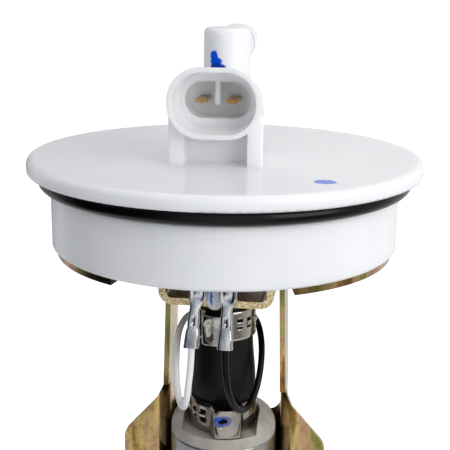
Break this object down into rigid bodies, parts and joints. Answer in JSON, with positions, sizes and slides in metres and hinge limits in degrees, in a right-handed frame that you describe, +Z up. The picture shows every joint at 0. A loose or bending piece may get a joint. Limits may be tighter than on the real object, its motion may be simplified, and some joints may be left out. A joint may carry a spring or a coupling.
{
  "type": "fuel pump module",
  "caption": "Flange-mounted in-tank fuel pump module: moulded flange with plug socket and outlet nipple, steel hanger, pump, hose with clamps, leads and strainer.",
  "frame": {"origin": "centre of the flange's sealing seat, the underside of its rim", "axes": "+Z up out of the tank along the flange axis; -Y is the way the plug socket opens; +Y is the way the fuel outlet points"},
  "size_m": [0.11, 0.11, 0.1936],
  "materials": {
    "acetal_white": "natural acetal, satin",
    "rubber_black": "moulded rubber",
    "zinc_yellow": "yellow-passivated zinc plate",
    "stainless": "stainless strip",
    "spring_steel": "spring wire",
    "bright_zinc": "bright zinc plate",
    "tin_plate": "tin-plated brass",
    "contact_brass": "plated brass",
    "insulation_white": "lead insulation",
    "insulation_black": "lead insulation",
    "plug_nylon": "moulded nylon",
    "cap_resin": "mineral-filled resin",
    "carbon": "carbon brush",
    "copper": "copper",
    "lamination": "stacked laminations",
    "shaft_steel": "ground steel",
    "ferrite": "sintered ferrite",
    "bearing_bronze": "sintered bronze",
    "valve_resin": "acetal",
    "strainer_nylon": "moulded nylon",
    "strainer_mesh": "woven nylon mesh"
  },
  "bodies": {
    "root": {"flange": "acetal_white", "tank_seal": "rubber_black", "contact_pins": "contact_brass", "mounting_plate": "zinc_yellow", "plate_screws": "bright_zinc", "pump_hanger": "zinc_yellow", "retaining_strap": "zinc_yellow", "strap_screws": "bright_zinc", "strap_nuts": "bright_zinc", "outlet_hose": "rubber_black", "hose_clamp_upper": "stainless", "hose_clamp_lower": "stainless", "lead_terminals": "tin_plate", "lead_white": "insulation_white", "lead_black": "insulation_black", "pump_plug": "plug_nylon", "pump_blades": "tin_plate", "pump_end_cap": "cap_resin", "pump_can": "bright_zinc", "pump_sleeve": "rubber_black", "pump_pad": "rubber_black", "brush_spring_left": "spring_steel", "brush_spring_right": "spring_steel", "field_magnets": "ferrite", "bush_upper": "bearing_bronze", "bush_lower": "bearing_bronze", "chamber_plate": "cap_resin", "inlet_cover": "cap_resin", "check_spring": "spring_steel", "check_stop": "stainless", "regulator_body": "bright_zinc", "regulator_tube": "bright_zinc", "regulator_diaphragm": "rubber_black", "regulator_spring": "spring_steel", "regulator_cover": "bright_zinc", "regulator_seal": "rubber_black", "regulator_clip": "stainless", "strainer_collar": "strainer_nylon", "strainer_sock": "strainer_mesh"},
    "rotor": {"rotor_shaft": "shaft_steel", "armature_core": "lamination", "armature_windings": "copper", "commutator": "copper", "impeller": "cap_resin"},
    "check_valve": {"check_poppet": "valve_resin"},
    "relief_valve": {"regulator_valve": "bright_zinc"},
    "brush_a": {"brush_left": "carbon"},
    "brush_b": {"brush_right": "carbon"}
  },
  "joints": [
    {"name": "rotor_spin", "type": "hinge", "parent": "root", "child": "rotor", "pos_m": [0, 0.004, -0.11], "axis": [0, 0, 1], "continuous": true},
    {"name": "check_valve_lift", "type": "slide", "parent": "root", "child": "check_valve", "axis": [0, 0, 1], "range_m": [0, 0.0015], "stiffness_N_per_m": 60, "springref_m": -0.003, "deforming": ["check_spring"]},
    {"name": "relief_valve_lift", "type": "slide", "parent": "root", "child": "relief_valve", "axis": [0, 0, -1], "range_m": [0, 0.0008], "stiffness_N_per_m": 1500, "springref_m": -0.003, "deforming": ["regulator_spring"]},
    {"name": "brush_a_slide", "type": "slide", "parent": "root", "child": "brush_a", "axis": [0, 0, 1], "range_m": [0, 0.002], "stiffness_N_per_m": 100, "springref_m": -0.004, "deforming": ["brush_spring_left"]},
    {"name": "brush_b_slide", "type": "slide", "parent": "root", "child": "brush_b", "axis": [0, 0, 1], "range_m": [0, 0.002], "stiffness_N_per_m": 100, "springref_m": -0.004, "deforming": ["brush_spring_right"]}
  ]
}
